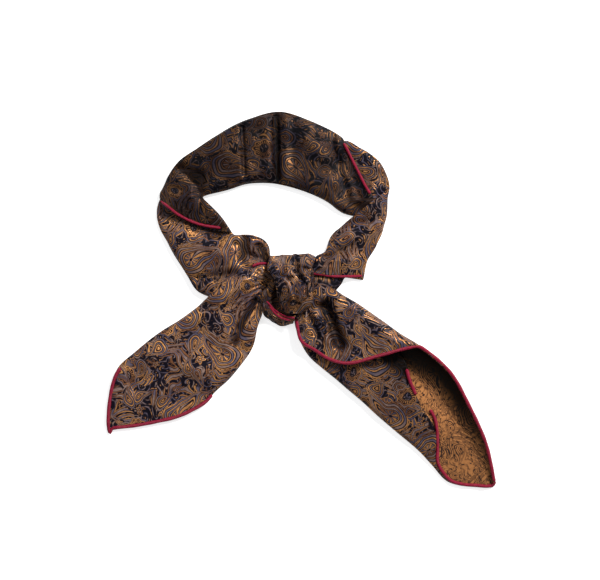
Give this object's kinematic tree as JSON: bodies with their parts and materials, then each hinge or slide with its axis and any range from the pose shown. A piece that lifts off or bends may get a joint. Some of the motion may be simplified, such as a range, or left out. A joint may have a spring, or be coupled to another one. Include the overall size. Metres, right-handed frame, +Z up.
{
  "type": "paisley neck scarf",
  "caption": "Square jacquard silk scarf with a paisley weave and a red rolled hem, tied in a ring with a front knot and laid flat.",
  "frame": {"origin": "middle of the scarf's box as seen from above, on the surface that it lies on", "axes": "+Z up off the table, +X along the longest extent towards the right tail, +Y towards the back of the ring"},
  "size_m": [0.31, 0.3, 0.0251],
  "materials": {
    "silk_face": "satin",
    "silk_reverse": "satin",
    "hem_red": "satin"
  },
  "bodies": {
    "root": {"neck_left": "silk_face", "neck_right_turn": "silk_face", "neck_back": "silk_face", "neck_right_under": "silk_face", "neck_right": "silk_face", "tail_left": "silk_face", "tail_right": "silk_reverse", "knot_core": "silk_face", "knot_loop": "silk_face", "knot_wrap": "silk_face", "hem_back_left": "hem_red", "hem_back_right": "hem_red", "hem_neck_right": "hem_red", "hem_neck_left": "hem_red", "hem_tail_left": "hem_red", "hem_tail_right": "hem_red", "hem_tail_right_low": "hem_red", "hem_tail_right_inner": "hem_red", "hem_knot_loop": "hem_red"}
  },
  "joints": []
}
